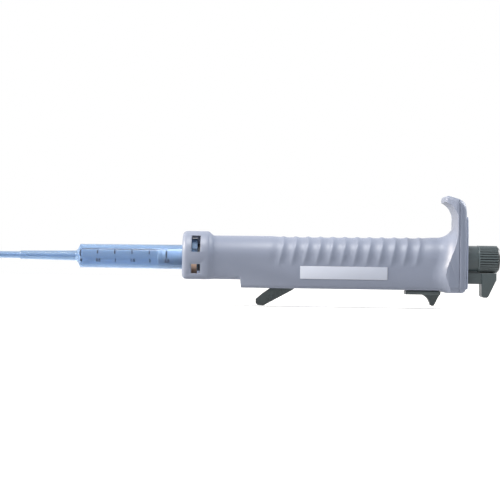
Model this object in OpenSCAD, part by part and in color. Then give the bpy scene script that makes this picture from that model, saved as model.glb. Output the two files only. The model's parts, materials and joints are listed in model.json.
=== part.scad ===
// Repeating pipette: a syringe dispenser with a ratchet drive, a filling slide and a stroke dial.
// X runs along the syringe from the nozzle's mouth to the dial, the finger hook points up (+Z),
// and the slide and levers hang below (-Z). The origin is the mouth of the nozzle.

/* [Syringe] */
// Radius of the nozzle's straight end
nozzle_r = 1.7; // [1.6:0.05:1.8]
// Length of the nozzle's straight end
nozzle_end_len = 10; // [8:0.5:12]
// Where the nozzle meets the barrel's cone
nozzle_len = 39; // [38:0.5:39.5]
// Barrel radius at the cone
barrel_front_r = 5.85; // [5.7:0.05:6]
// Barrel radius at the collar
barrel_rear_r = 6.15; // [6:0.05:6.2]
// Radius of the barrel's bore
barrel_bore_r = 4.35; // [4.2:0.05:4.5]
// Radius of the bayonet flange
flange_r = 9.4; // [9.2:0.1:9.4]

/* [Body] */
// Half the body's width
body_half_w = 11; // [10.9:0.05:11.1]
// Thickness of the moulding's side wall
wall = 1.7; // [1.5:0.1:1.8]
// Front face of the collar
collar_x = 91.5; // [91.2:0.1:91.6]
// Half the collar's width
collar_half_w = 12.3; // [12:0.1:12.6]
// Number of grip ridges
ridge_count = 12; // [8:1:12]
// Distance between grip ridges
ridge_pitch = 6.13; // [6:0.01:6.15]
// Depth of the grooves between the ridges
groove_depth = 0.5; // [0.2:0.05:0.6]
// How far a ridge leans forward from its top to its foot
ridge_lean = 2.2; // [0:0.2:2.4]

/* [Hook] */
// Radius of the finger's seat under the hook
finger_r = 9.1; // [8.6:0.1:9.3]
// Half the width of the rear flange
flange_half_w = 14; // [13.6:0.1:14.5]
// Parting plane between the body moulding and the rear cover
parting_x = 228; // [227.8:0.1:228.2]
// Rear face of the cover
cover_end_x = 231.8; // [231.7:0.1:232]

/* [Dial and trigger] */
// Height of the dial's axis above the syringe's axis
dial_z = 1; // [0.8:0.1:1.2]
// Radius of the dial knob over its ribs
knob_r = 6.9; // [6.7:0.1:6.9]
// Number of ribs on the knob
knob_ribs = 32; // [24:2:40]
// Radius of the spindle
spindle_r = 1.9; // [1.8:0.05:1.9]
// Travel of the trigger
trigger_stroke = 4.8; // [4:0.1:4.8]

/* [Ratchet] */
// Travel of the carriage from a full to an empty syringe
carriage_travel = 38; // [30:1:38]
// Pitch of the rack's teeth
tooth_pitch = 1; // [0.8:0.1:1.2]
// Height of the rack's teeth
tooth_h = 0.8; // [0.6:0.1:0.8]

/* [Hidden] */

fine = 64;              // segments of large rounds
small = 32;             // segments of small rounds
eps = 0.01;             // overshoot of a cut past a face
beyond = 20;            // half-width of a cut or a blank that runs past the whole section
gap = 0.3;              // room between moving faces
run_gap = 0.05;         // radial room of a running shaft

// Syringe
nozzle_taper_r = [2.1, 2.5];
cone_x = 40.3;
barrel_x = 41;
nozzle_bore_r = 0.6;
flange_x = 95.9;
flange_t = 3;
flange_end_x = flange_x + flange_t;
flange_lug_half_w = 6.6;
clip_ring_r = [9.46, 9.86];
clip_span = 140;
piston_x = 79.2;
seal_len = 4.2;
seal_r = barrel_bore_r - run_gap;
rod_head_r = 3.9;
rod_head_end_x = 112;
rod_r = 2.5;
button_x = 166;
button_t = 2.6;
button_r = 3.6;

// Body outline along X
collar_end_x = 104;
body_x = 107.2;
step_x = 120.5;
collar_top = 13.1;
collar_bottom = -10.8;
collar_round = 2.2;
body_top = [11, 11.5];
nose_bottom = -10.6;
body_bottom = -14.7;
flange_bottom = -15.85;
bottom_round = 1.6;
finger_x = 218.1;
finger_z = body_top[1] + finger_r;
seat_back_x = finger_x + finger_r;
// Height on the body's side, and where the sweep out to the rear flange starts there
sweep_line = [[-14, 217.6], [-11, 214.8], [-5, 214.8], [4, finger_x]];

// Grip ridges
ridge_x = 141.8;
groove_start_x = ridge_x - ridge_pitch;
groove_end_x = ridge_x + ridge_count * ridge_pitch;
groove_foot_z = -1.8;
groove_fade = 1.6;
lean_top_z = 9;
ridge_sharpness = 6;
// Places of the rings between two ridges, as shares of the pitch
ring_shares = [0, 0.1, 0.25, 0.5, 0.75, 0.9];

// Inside of the body
cavity_x = 101.2;
cavity_half_w = body_half_w - wall;
channel_half_w = 8.9;
nose_floor = nose_bottom + wall;
deep_floor = body_bottom + wall;
deep_x = 122.2;
pocket_r = 9.95;
seat_hole_r = 7.2;
bayonet_half_h = 7;
bayonet_r = 9.7;
window_x = [96.1, 100.5];
window_web_half_w = 3;
upper_window_z = [2.8, 10.8];
lower_window_z = [-7.9, -3.3];
slide_slot_half_w = 2.4;
lever_slot_x = [125.8, 149.6];
lever_slot_half_w = 5;
floor_rib_w = 2;
floor_rib_x = [153, 219];

// Hook, cover and plate
hook_tip_r = 1.6;
hook_edge_r = 2;
hook_tip = [222.9, 30.6];
hook_top = [227.4, 28.8];
hook_corner = [229.6, 24.3];
hook_foot_z = 13;
hook_tip_half_w = 10.5;
hook_top_half_w = 12.2;
cover_low_r = 3;
cover_top_r = 3.5;
// Place along X, inset of the outline and height of the top
cover_layers = [[parting_x, 0, 30.7], [229.7, 0, 29.9], [230.8, 0.4, 29], [231.4, 1, 27.9],
    [cover_end_x, 1.8, 26.4]];
label_x = [149.9, 192.9];
label_z = [-9.8, -3.55];
label_t = 0.2;
plate_end_x = cover_end_x + 0.8;
plate_top = 21.8;
plate_top_half_w = 10.5;
plate_corner_r = 2;
plate_margin = 1.9;
keyhole_r = knob_r + 0.4;
keyhole_half_w = 4.85;
keyhole_bottom = -11.75;
keyhole_top = -4.6;

// Screws
screw_r = 0.9;
screw_hole_r = 1.05;
screw_head_r = 1.3;
screw_head_t = 1.3;
screw_head_x = cover_end_x - 1.5;
low_screw = [10.7, -11];
top_screw_z = 12.6;
low_screw_len = 7.4;
top_screw_len = 5;
frame_screw = [7.4, -8.6];

// Guide frame
frame_x = 152;
frame_ear_x = 141.5;
frame_wall_y = [5.4, 6.6];
frame_floor = [-12.4, -10.9];
frame_top = -4.8;
bridge_x = [193.5, 195.5];
bridge_z = [-4.4, -2.4];
stop_lug_x = [198.9, 200.9];
stop_lug_y = 3.4;
stop_lug_top = 2.2;
ear_end_x = 150.5;
ear_bottom = deep_floor + 0.05;
rear_bulkhead_x = [222, 224];
bulkhead_top = 6.2;
bulkhead_half_w = 6.6;
frame_foot_x = parting_x - 1.6;
frame_foot_half_w = 8.7;
bush_r = 3;
bush_flange_r = 4.4;
bush_flange_t = 0.9;

// Rack and carriage
rack_x = [164, 227];
rack_half_w = 2.6;
rack_bottom = -10.6;
rack_top = -7.4;
teeth_x = 178;
chuck_x = [162, 176];
chuck_r = 4.9;
chuck_slot = 0.8;
slide_plate_x = [202.6, 219.9];
slide_plate_z = [-17, -15.2];
slide_plate_half_w = 6;
slide_chamfer = 0.9;
slide_neck_x = [204.5, 214.5];
slide_slot_x = [slide_neck_x[0] - carriage_travel - 1, slide_neck_x[1] + 1.2];
slide_neck_half_w = 2;
slide_screw_x = 206.5;
slide_screw_r = 0.8;
slide_screw_head_r = 1.6;
fin_half_w = 3;

// Trigger
bar_z = [-7.1, -5];
bar_x = [190, 200];
bar_half_w = 4.5;
bar_arm_y = -0.3;
pawl_gap_y = -2.7;
tube_x = 230;
tube_r = 6.7;
tube_bore_r = 4.9;
tube_wall_x = 237;
knob_x = 238.6;
block_x = 232.3;
block_end_x = 246;
block_half_w = 4.5;
block_z = [-11.3, -5.85];
trigger_front_x = 240.4;
trigger_half_w = 5.5;
tube_web_half_w = 3;
tube_web_top = -4.2;

// Pawls
drive_pin = [196.5, -6.05];
holding_pin = [188.6, -5.9];
pawl_pin_r = 0.6;
pawl_hub_r = 0.95;
pawl_reach = 7.6;
pawl_w = 2;
pawl_z = -7.2;
drive_pawl_y = -1.5;
holding_pawl_y = 1.5;
pawl_spring_t = 0.25;

// Dial
knob_end_x = 249.3;
knob_rib_x = [239.3, 248.3];
knob_rib_gap = 0.08;    // how far the ribs stay inside the knob's lip
knob_face_r = 6.25;
rib_depth = 0.6;
spindle_x = [203.5, 250];
drum_x = 206;
drum_end_x = 216;
drum_r = 5.5;
drum_steps = 5;
drum_rise = 1.1;
drum_pin_x = 214.2;
drum_pin_r = 0.6;
clip_x = 236;
clip_t = 0.6;
clip_r = 2.75;
clip_groove_r = 1.3;
detent_r = 0.6;
detent_ring_r = 5.85;
detent_x = [232.5, 238.3];
detent_groove_r = [detent_ring_r - 0.75, detent_ring_r + 0.75];
detent_groove_depth = 0.4;

// Springs
return_wire_r = 0.42;
return_coil_r = 3.65;
return_turns = 5;
lever_wire_r = 0.28;
lever_coil_r = 1.2;
lever_turns = 4;

// Release lever
lever_pivot = [146, -12.1];
lever_pin_r = 0.75;
lever_hub_r = 1.2;
lever_half_w = 4.6;
lever_gap_half_w = 2.5;
lever_tooth = 1.6;
lever_tooth_h = 0.45;

// Directions
module lathe_x(points, z = 0) translate([0, 0, z]) rotate([0, 90, 0])
    rotate_extrude($fn = fine) polygon(points);
module rod_x(x0, x1, r, y = 0, z = 0, sides = small) translate([x0, y, z]) rotate([0, 90, 0])
    cylinder(r = r, h = x1 - x0, $fn = sides);
module rod_y(x, z, r, y0, y1, sides = small) translate([x, y1, z]) rotate([90, 0, 0])
    cylinder(r = r, h = y1 - y0, $fn = sides);
module slab_y(y0, y1) translate([0, y1, 0]) rotate([90, 0, 0]) linear_extrude(y1 - y0) children();
module block(x, y, z) translate([x[0], y[0], z[0]]) cube([x[1] - x[0], y[1] - y[0], z[1] - z[0]]);
function clamp(v, low, high) = min(max(v, low), high);
function mix(a, b, t) = a + (b - a) * t;
function share(v, from, to) = clamp((v - from) / (to - from), 0, 1);

// A closed skin over rings that all have the same number of points
module skin(rings) {
    n = len(rings[0]);
    last = (len(rings) - 1) * n;
    walls = [for (k = [0 : len(rings) - 2], i = [0 : n - 1], upper = [0, 1])
        let (a = k * n + i, b = k * n + (i + 1) % n)
        upper == 0 ? [a, a + n, b] : [b, a + n, b + n]];
    ends = [[for (i = [0 : n - 1]) i], [for (i = [n - 1 : -1 : 0]) last + i]];
    polyhedron([for (ring = rings) each ring], concat(walls, ends));
}

// A coil about the X axis: turns from x0 to x1, with wire of a given radius
module coil_x(x0, x1, coil_r, wire_r, turns, steps = 14, sides = 6) {
    skin([for (i = [0 : turns * steps])
        let (t = i / (turns * steps), turn = 360 * i / steps, x = mix(x0 + wire_r, x1 - wire_r, t))
        [for (j = [0 : sides - 1])
            let (a = -360 * j / sides, r = coil_r + wire_r * cos(a))
            [x + wire_r * sin(a), r * cos(turn), r * sin(turn)]]]);
}

// Syringe
module syringe_barrel() {
    color([0.6, 0.7, 0.84]) difference() {
        union() {
            lathe_x([[0, 0], [nozzle_r, 0], [nozzle_r, nozzle_end_len],
                [nozzle_taper_r[0], nozzle_end_len + 0.6], [nozzle_taper_r[1], nozzle_len - 1],
                [nozzle_taper_r[1] + 0.8, nozzle_len], [barrel_front_r, cone_x],
                [barrel_rear_r, collar_x + 1], [barrel_rear_r, flange_x + eps], [0, flange_x + eps]]);
            intersection() {
                rod_x(flange_x, flange_end_x, flange_r, sides = fine);
                block([flange_x, flange_end_x], [-flange_lug_half_w, flange_lug_half_w],
                    [-flange_r, flange_r]);
            }
        }
        lathe_x([[0, -eps], [nozzle_bore_r, -eps], [nozzle_bore_r + 0.2, nozzle_len],
            [barrel_bore_r, barrel_x], [barrel_bore_r, flange_end_x + eps], [0, flange_end_x + eps]]);
    }
}

module piston_seal() {
    lip = 0.5;
    color([0.8, 0.86, 0.93]) difference() {
        lathe_x([[0, piston_x - 0.8], [2.4, piston_x - 0.3], [seal_r, piston_x],
            [seal_r, piston_x + 1.2], [seal_r - lip, piston_x + 1.5],
            [seal_r - lip, piston_x + 2.7], [seal_r, piston_x + 3],
            [seal_r, piston_x + seal_len], [0, piston_x + seal_len]]);
        rod_x(piston_x + 1.4, piston_x + seal_len + eps, 1.6);
    }
}

module plunger_rod() {
    start_x = piston_x + seal_len;
    color([0.85, 0.88, 0.93]) union() {
        rod_x(piston_x + 1.5, start_x + eps, 1.5);
        lathe_x([[0, start_x], [rod_head_r, start_x], [rod_head_r, rod_head_end_x],
            [rod_r, rod_head_end_x + 2], [rod_r, button_x], [button_r, button_x + 0.6],
            [button_r, button_x + button_t], [0, button_x + button_t]]);
    }
}

// Bronze spring that holds the syringe's flange from below
module flange_clip() {
    color([0.72, 0.5, 0.3])
        rotate([0, 90, 0]) rotate([0, 0, -clip_span / 2]) rotate_extrude(angle = clip_span, $fn = fine)
            polygon([[clip_ring_r[0], flange_x + 0.2], [clip_ring_r[1], flange_x + 0.2],
                [clip_ring_r[1], flange_end_x - 0.2], [clip_ring_r[0], flange_end_x - 0.2]]);
}

// Body moulding: one skin lofted through sections along X
function smooth_share(v, from, to) = let (t = share(v, from, to)) t * t * (3 - 2 * t);
function rise(r, run) = r - sqrt(max(0, pow(r, 2) - pow(clamp(run, 0, r), 2)));
function fillet_inset(x) = rise(collar_round, collar_x + collar_round - x);
function collar_part(x) = 1 - smooth_share(x, collar_end_x, body_x);
function half_width(x) = mix(body_half_w, collar_half_w, collar_part(x)) - fillet_inset(x);
function top_height(x) = mix(mix(body_top[0], body_top[1], share(x, body_x, finger_x)),
    collar_top, collar_part(x)) - fillet_inset(x);
function bottom_height(x) = fillet_inset(x)
    + (x < step_x ? mix(nose_bottom, collar_bottom, collar_part(x)) : body_bottom);
function groove(x) = x > groove_start_x && x < groove_end_x
    ? groove_depth * (1 - pow(abs(cos(180 * (x - ridge_x) / ridge_pitch)), ridge_sharpness))
        * share(x, groove_start_x, ridge_x) * (1 - share(x, groove_end_x - ridge_pitch, groove_end_x))
    : 0;
function foot_share(z) = share(z, groove_foot_z - groove_fade / 2, groove_foot_z + groove_fade / 2);
function sweep(x, z) = rise(finger_r, x - lookup(z, sweep_line));
function lean(x, z) = ridge_lean * share(z, lean_top_z, groove_foot_z)
    * share(x, deep_x, groove_start_x) * (1 - share(x, groove_end_x - ridge_pitch, groove_end_x));

side_shares = [0.45, 0.72, 0.86];
corner_steps = 3;
arc_steps = 10;
// Half a section from the bottom to the spine: width, height and the outward direction
function half_section(x) = let (w = half_width(x), low = bottom_height(x),
        mid = top_height(x) - w, foot = low + bottom_round) concat(
    [for (i = [0 : corner_steps]) let (a = -90 + 90 * i / corner_steps)
        [w - bottom_round + bottom_round * cos(a), foot + bottom_round * sin(a), cos(a), sin(a)]],
    [for (s = side_shares) [w, mix(foot, mid, s), 1, 0]],
    [for (i = [0 : arc_steps - 1]) let (a = 90 * i / arc_steps)
        [w * cos(a), mid + w * sin(a), cos(a), sin(a)]]);
function place(x, p, side) = let (out = sweep(x, p[1]) - groove(x) * foot_share(p[1]))
    [x - lean(x, p[1]), side * (p[0] + out * p[2]), p[1] + out * p[3]];
function section(x) = let (half = half_section(x), n = len(half)) concat(
    [for (p = half) place(x, p, 1)], [place(x, [0, top_height(x), 0, 1], 1)],
    [for (i = [n - 1 : -1 : 0]) place(x, half[i], -1)]);
collar_stations = concat([for (a = [0 : 22.5 : 90]) collar_x + collar_round * (1 - cos(a))],
    [for (t = [0 : 0.25 : 1]) mix(collar_end_x, body_x, t)]);
groove_stations = [for (i = [0 : ridge_count], t = ring_shares)
    groove_start_x + (i + t) * ridge_pitch];
sweep_stations = concat([216.5], [for (a = [0 : 9 : 90]) finger_x + finger_r * sin(a)],
    [parting_x + 1]);
body_stations = concat(collar_stations, [step_x - 0.2, step_x + 0.2, deep_x], groove_stations,
    sweep_stations);

// Outline of the rear flange and of the cover on it
function cover_half(inset, top) = let (low_r = cover_low_r - inset / 2) concat(
    [for (a = [-90 : 22.5 : 0]) [flange_half_w - inset - low_r + low_r * cos(a),
        flange_bottom + inset + low_r + low_r * sin(a)]],
    [[flange_half_w - inset, hook_foot_z]],
    [for (a = [0 : 22.5 : 90]) [hook_top_half_w - inset - cover_top_r + cover_top_r * cos(a),
        top - cover_top_r + cover_top_r * sin(a)]]);
function cover_outline(inset, top) = let (half = cover_half(inset, top), n = len(half)) concat(
    half, [for (i = [n - 1 : -1 : 0]) [-half[i][0], half[i][1]]]);
module flange_prism() translate([collar_x - 1, 0, 0]) rotate([90, 0, 90])
    linear_extrude(parting_x - collar_x + 1)
        polygon(cover_outline(0, cover_layers[0][2] + cover_top_r));

// Finger hook above the seat
module hook() difference() {
    intersection() {
        hull() for (side = [-1, 1]) {
            hook_ball(hook_tip, side * hook_tip_half_w, hook_tip_r);
            hook_ball(hook_top, side * hook_top_half_w, hook_edge_r);
            hook_ball(hook_corner, side * hook_top_half_w, hook_edge_r);
            hook_ball([hook_corner[0], hook_foot_z], side * flange_half_w, hook_edge_r);
            hook_ball([hook_tip[0], hook_foot_z], side * flange_half_w, hook_edge_r);
        }
        block([finger_x, parting_x + 1], [-beyond, beyond], [finger_z, finger_z + beyond]);
    }
    rod_y(finger_x, finger_z, finger_r, -beyond, beyond, sides = fine);
}
module hook_ball(centre, y, r) translate([centre[0], y - sign(y) * r, centre[1]])
    sphere(r = r, $fn = 20);

module cavity() {
    rotate([90, 0, 90]) {
        translate([0, 0, cavity_x]) linear_extrude(parting_x - cavity_x + 2) hull() {
            circle(r = cavity_half_w, $fn = 40);
            translate([-cavity_half_w, nose_floor]) square([2 * cavity_half_w, 1]);
        }
        translate([-channel_half_w, deep_floor, deep_x]) cube([2 * channel_half_w, 9,
            parting_x - deep_x + 2]);
    }
}
module bayonet() {
    rod_x(collar_x - 1, flange_x, barrel_rear_r + gap, sides = fine);
    intersection() {
        rod_x(collar_x - 1, flange_x, bayonet_r, sides = fine);
        block([collar_x - 1, flange_x], [-bayonet_r, bayonet_r], [-bayonet_half_h, bayonet_half_h]);
    }
    rod_x(flange_x - gap, flange_end_x, pocket_r, sides = fine);
    rod_x(flange_end_x - eps, cavity_x + eps, seat_hole_r, sides = fine);
}
module side_windows() for (side = [0, 1], z = [upper_window_z, lower_window_z])
    mirror([0, side, 0]) block(window_x, [window_web_half_w, collar_half_w + 1], z);
module cover_screw_places() {
    for (side = [-1, 1]) translate([0, side * low_screw[0], low_screw[1]]) children(0);
    translate([0, 0, top_screw_z]) children(1);
}

module body_shell() {
    floor_cut = [body_bottom - 2, deep_floor + 1];
    color([0.72, 0.75, 0.8]) resize([parting_x - collar_x, 0, 0]) difference() {
        intersection() {
            union() {
                skin([for (x = body_stations) section(x)]);
                block([seat_back_x - 2 * eps, parting_x + 1], [-beyond, beyond],
                    [-beyond, finger_z + 0.5]);
                hook();
            }
            flange_prism();
        }
        difference() {
            cavity();
            for (x = floor_rib_x)
                block([x, x + floor_rib_w], [-beyond, beyond], [deep_floor - 1, frame_floor[0]]);
        }
        bayonet();
        side_windows();
        block(slide_slot_x, [-slide_slot_half_w, slide_slot_half_w], floor_cut);
        block(lever_slot_x, [-lever_slot_half_w, lever_slot_half_w], floor_cut);
        cover_screw_places() {
            rod_x(parting_x - low_screw_len + 2, parting_x + 1, screw_hole_r, sides = 20);
            rod_x(parting_x - top_screw_len + 2, parting_x + 1, screw_hole_r, sides = 20);
        }
    }
}

// Rear cover, thin plate on it and the screws under the plate
function cover_section(x, inset, top) = [for (p = cover_outline(inset, top)) [x, p[0], p[1]]];
module keyhole(x0, x1) {
    rod_x(x0, x1, keyhole_r, z = dial_z, sides = fine);
    block([x0, x1], [-keyhole_half_w, keyhole_half_w], [keyhole_bottom, keyhole_top]);
}
module rear_cover() color([0.72, 0.75, 0.8])
    resize([cover_end_x - parting_x, 0, 0]) difference() {
    skin([for (layer = cover_layers) cover_section(layer[0], layer[1], layer[2])]);
    keyhole(parting_x - 1, cover_end_x + 1);
    cover_screw_places() {
        cover_screw_hole();
        cover_screw_hole();
    }
    for (side = [-1, 1]) translate([0, side * frame_screw[0], frame_screw[1]]) frame_screw_hole();
}
module cover_screw_hole() {
    rod_x(parting_x - 1, cover_end_x + 1, screw_hole_r);
    rod_x(screw_head_x - eps, cover_end_x + 1, screw_head_r + 0.1);
}
module frame_screw_hole() {
    rod_x(parting_x - 1, cover_end_x + 1, 1);
    rod_x(screw_head_x - eps, cover_end_x + 1, 1.75);
}
module back_plate() color([0.66, 0.69, 0.75]) difference() {
    half_w = flange_half_w - plate_margin;
    low = flange_bottom + plate_margin;
    translate([cover_end_x, 0, 0]) rotate([90, 0, 90]) linear_extrude(plate_end_x - cover_end_x)
        offset(r = plate_corner_r, $fn = small) offset(delta = -plate_corner_r)
            polygon([[-half_w, low], [half_w, low], [half_w, hook_foot_z],
                [plate_top_half_w, plate_top], [-plate_top_half_w, plate_top],
                [-half_w, hook_foot_z]]);
    keyhole(cover_end_x - 1, plate_end_x + 1);
}
module name_plate() color([0.87, 0.88, 0.92])
    block(label_x, [-body_half_w - label_t, -body_half_w], label_z);
module pan_screw(len, r, head_r) union() {
    rod_x(screw_head_x - len, screw_head_x + eps, r);
    difference() {
        lathe_x([[0, screw_head_x], [head_r, screw_head_x], [head_r, screw_head_x + 0.8],
            [head_r * 0.7, screw_head_x + screw_head_t], [0, screw_head_x + screw_head_t]]);
        for (turn = [0, 90]) rotate([turn, 0, 0]) block([screw_head_x + 0.6, cover_end_x],
            [-0.2, 0.2], [-head_r * 0.55, head_r * 0.55]);
    }
}
module cover_screws() color([0.6, 0.61, 0.62]) cover_screw_places() {
    pan_screw(low_screw_len, screw_r, screw_head_r);
    pan_screw(top_screw_len, screw_r, screw_head_r);
}
module frame_screws() color([0.6, 0.61, 0.62]) for (side = [-1, 1])
    translate([0, side * frame_screw[0], frame_screw[1]]) pan_screw(4.2, 0.85, 1.6);

// Frame that guides the rack and carries the pawl, the lever and the spindle
module guide_frame() color([0.62, 0.63, 0.65]) difference() {
    union() {
        block([frame_x, parting_x], [-frame_wall_y[1], frame_wall_y[1]], frame_floor);
        for (side = [0, 1]) mirror([0, side, 0]) {
            block([frame_ear_x, parting_x], frame_wall_y, [frame_floor[0], frame_top]);
            block([frame_ear_x, ear_end_x], frame_wall_y, [ear_bottom, frame_top]);
            block([frame_foot_x, parting_x], [frame_wall_y[1] - eps, frame_foot_half_w],
                [frame_floor[0], frame_top]);
        }
        block(rear_bulkhead_x, [-bulkhead_half_w, bulkhead_half_w], [frame_floor[1] - eps,
            bulkhead_top]);
        block(bridge_x, [-bulkhead_half_w, bulkhead_half_w], [frame_top - eps, bridge_z[1]]);
        block(stop_lug_x, [stop_lug_y, frame_wall_y[1]], [frame_top - eps, stop_lug_top]);
    }
    block([frame_x - 1, slide_slot_x[1] + 0.4], [-rack_half_w + gap, rack_half_w - gap],
        [frame_floor[0] - 1, frame_floor[1] + 1]);
    block([frame_x, parting_x + 1], [-frame_wall_y[0], frame_wall_y[0]],
        [frame_floor[1], bridge_z[0]]);
    block([block_x - trigger_stroke - gap, parting_x + 1], [-frame_wall_y[0], frame_wall_y[0]],
        [frame_floor[0] - 1, frame_floor[1] + 1]);
    rod_x(rear_bulkhead_x[0] - 1, rear_bulkhead_x[1] + 1, bush_r, z = dial_z, sides = fine);
    rod_y(lever_pivot[0], lever_pivot[1], lever_pin_r, -frame_wall_y[1] - 1, frame_wall_y[1] + 1);
    rod_y(holding_pin[0], holding_pin[1], pawl_pin_r, frame_wall_y[0] - 1, frame_wall_y[1] + 1);
    for (side = [-1, 1]) rod_x(frame_foot_x - 1, parting_x + 1, 0.85,
        y = side * frame_screw[0], z = frame_screw[1]);
}
module spindle_bush() {
    flange = [rear_bulkhead_x[1], rear_bulkhead_x[1] + bush_flange_t];
    bore = spindle_r + run_gap;
    color([0.75, 0.62, 0.35]) lathe_x([[bore, rear_bulkhead_x[0]], [bush_r, rear_bulkhead_x[0]],
        [bush_r, flange[0]], [bush_flange_r, flange[0]], [bush_flange_r, flange[1]],
        [bore, flange[1]]], z = dial_z);
}

// Carriage: toothed rack, collet for the plunger and filling slide
module rack() {
    tooth_count = floor((rack_x[1] - 1 - teeth_x) / tooth_pitch);
    root = rack_top - tooth_h;
    teeth = [for (i = [0 : tooth_count - 1]) let (x = teeth_x + i * tooth_pitch)
        each [[x, root], [x + tooth_pitch * 0.85, rack_top]]];
    color([0.55, 0.57, 0.6]) difference() {
        slab_y(-rack_half_w, rack_half_w) polygon(concat([[rack_x[0], rack_bottom],
            [rack_x[0], rack_top], [teeth_x - 0.5, rack_top]], teeth,
            [[rack_x[1] - 1, root], [rack_x[1], root], [rack_x[1], rack_bottom]]));
        translate([slide_screw_x, 0, rack_bottom - 1])
            cylinder(r = slide_screw_r + 0.05, h = 3, $fn = small);
    }
}
module plunger_chuck() color([0.5, 0.52, 0.55]) difference() {
    union() {
        rod_x(chuck_x[0], chuck_x[1], chuck_r, sides = fine);
        block([chuck_x[0] + 3, chuck_x[1]], [-rack_half_w, rack_half_w], [rack_top, -3.5]);
    }
    rod_x(chuck_x[0] - 1, button_x + 1, rod_r + 0.3);
    lathe_x([[0, chuck_x[0] - eps], [button_r - 0.1, chuck_x[0] - eps], [rod_r + 0.3, chuck_x[0] + 1],
        [0, chuck_x[0] + 1]]);
    rod_x(button_x - 0.3, button_x + button_t + 0.3, button_r + 0.2);
    for (turn = [45, 135]) rotate([turn, 0, 0]) block([chuck_x[0] - 1, button_x + button_t + 3],
        [-chuck_r - 1, chuck_r + 1], [-chuck_slot / 2, chuck_slot / 2]);
}
module filling_slide() {
    // Outline of the fin from its front foot round its tip to its rear foot
    fin = [[211, slide_plate_z[0] + eps], [212.2, -17.5], [213.4, -18.4], [214.3, -19.6],
        [214.9, -20.9], [215.3, -22.1], [215.7, -22.5], [216.3, -22.6], [216.9, -22.4],
        [217.6, -21.3], [218.8, -18.7], [slide_plate_x[1], slide_plate_z[0] + eps]];
    color([0.34, 0.36, 0.37]) difference() {
        union() {
            block(slide_plate_x, [-slide_plate_half_w, slide_plate_half_w], slide_plate_z);
            block(slide_neck_x, [-slide_neck_half_w, slide_neck_half_w],
                [slide_plate_z[1] - eps, rack_bottom]);
            slab_y(-fin_half_w, fin_half_w) polygon(fin);
        }
        translate([slide_screw_x, 0, slide_plate_z[0] - 1]) {
            cylinder(r = slide_screw_r + 0.15, h = 9, $fn = small);
            cylinder(r = slide_screw_head_r + 0.15, h = 2, $fn = small);
        }
        for (side = [0, 1]) mirror([0, side, 0])
            translate([slide_plate_x[0] + beyond, slide_plate_half_w, slide_plate_z[0]])
                rotate([45, 0, 0]) cube([3 * beyond, slide_chamfer, slide_chamfer], center = true);
    }
}
module slide_screw() color([0.6, 0.61, 0.62]) translate([slide_screw_x, 0, 0]) union() {
    translate([0, 0, slide_plate_z[0] + 0.1]) cylinder(r = slide_screw_head_r, h = 0.9, $fn = small);
    translate([0, 0, slide_plate_z[0] + 0.9]) cylinder(r = slide_screw_r, h = 7.5, $fn = small);
}

// Trigger: rear tube, block and finger, with the bar that carries the drive pawl
module trigger_block() {
    // Outline of the finger from its front top round its tip to its rear top
    finger = [[trigger_front_x, block_z[1]], [trigger_front_x, -17.2], [241.4, -18.1],
        [243.1, -18.1], [243.9, -17.3], [247.6, -9.2], [247.6, block_z[1]]];
    color([0.34, 0.38, 0.39]) difference() {
        union() {
            block([block_x, block_end_x], [-block_half_w, block_half_w], block_z);
            slab_y(-trigger_half_w, trigger_half_w) polygon(finger);
            rod_x(tube_x, knob_x, tube_r, z = dial_z, sides = fine);
            block([bar_x[1], block_x + 1], [-bar_half_w, bar_half_w], bar_z);
            block([bar_x[0], bar_x[1] + eps], [-bar_half_w, bar_arm_y], bar_z);
            block([block_x, knob_x], [-tube_web_half_w, tube_web_half_w], [block_z[1] - 1, tube_web_top]);
        }
        rod_x(tube_x - 1, tube_wall_x, tube_bore_r, z = dial_z, sides = fine);
        rod_x(knob_x, knob_end_x, knob_r + gap, z = dial_z, sides = fine);
        rod_x(tube_x, knob_x + 1, spindle_r + run_gap, z = dial_z);
        rod_x(detent_x[0] - 0.5, knob_x + 1, detent_r + run_gap, z = dial_z + detent_ring_r);
        block([bar_x[0] - 1, drive_pin[0] + 1.6], [pawl_gap_y, bar_arm_y + 1],
            [bar_z[0] - 1, bar_z[1] + 1]);
        rod_y(drive_pin[0], drive_pin[1], pawl_pin_r, -bar_half_w - 1, pawl_gap_y + 1);
    }
}
module pawl(pin, y) {
    nose = pin[0] - pawl_reach;
    difference() {
        slab_y(y - pawl_w / 2, y + pawl_w / 2) union() {
            translate(pin) circle(r = pawl_hub_r, $fn = small);
            polygon([[pin[0], pin[1] + pawl_hub_r - 0.1], [nose + 1.2, pin[1] + 0.2],
                [nose, pin[1] - 0.3], [nose, pawl_z], [nose + 0.9, pin[1] - 0.5],
                [pin[0], pin[1] - pawl_hub_r + 0.1]]);
        }
        rod_y(pin[0], pin[1], pawl_pin_r + run_gap, y - pawl_w, y + pawl_w);
    }
}
module drive_pawl() color([0.7, 0.7, 0.7]) pawl(drive_pin, drive_pawl_y);
module holding_pawl() color([0.7, 0.7, 0.7]) pawl(holding_pin, holding_pawl_y);
module drive_pawl_pin() color([0.8, 0.8, 0.8])
    rod_y(drive_pin[0], drive_pin[1], pawl_pin_r, -bar_half_w, bar_arm_y);
module holding_pawl_pin() color([0.8, 0.8, 0.8])
    rod_y(holding_pin[0], holding_pin[1], pawl_pin_r, bar_arm_y + 0.6, frame_wall_y[1]);
module leaf_spring(pin, tail_x, tail_z, y0, y1) {
    low = pin[1] + 0.4;
    nose = pin[0] - pawl_reach + 2;
    slab_y(y0, y1) polygon([[tail_x, tail_z], [tail_x, tail_z + pawl_spring_t],
        [pin[0] - 0.5, tail_z + pawl_spring_t], [nose, low + pawl_spring_t], [nose, low],
        [pin[0] - 0.5, tail_z]]);
}
module drive_pawl_spring() color([0.75, 0.7, 0.6])
    leaf_spring(drive_pin, drive_pin[0] + 3.3, bar_z[1], -2.3, -0.7);
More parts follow.
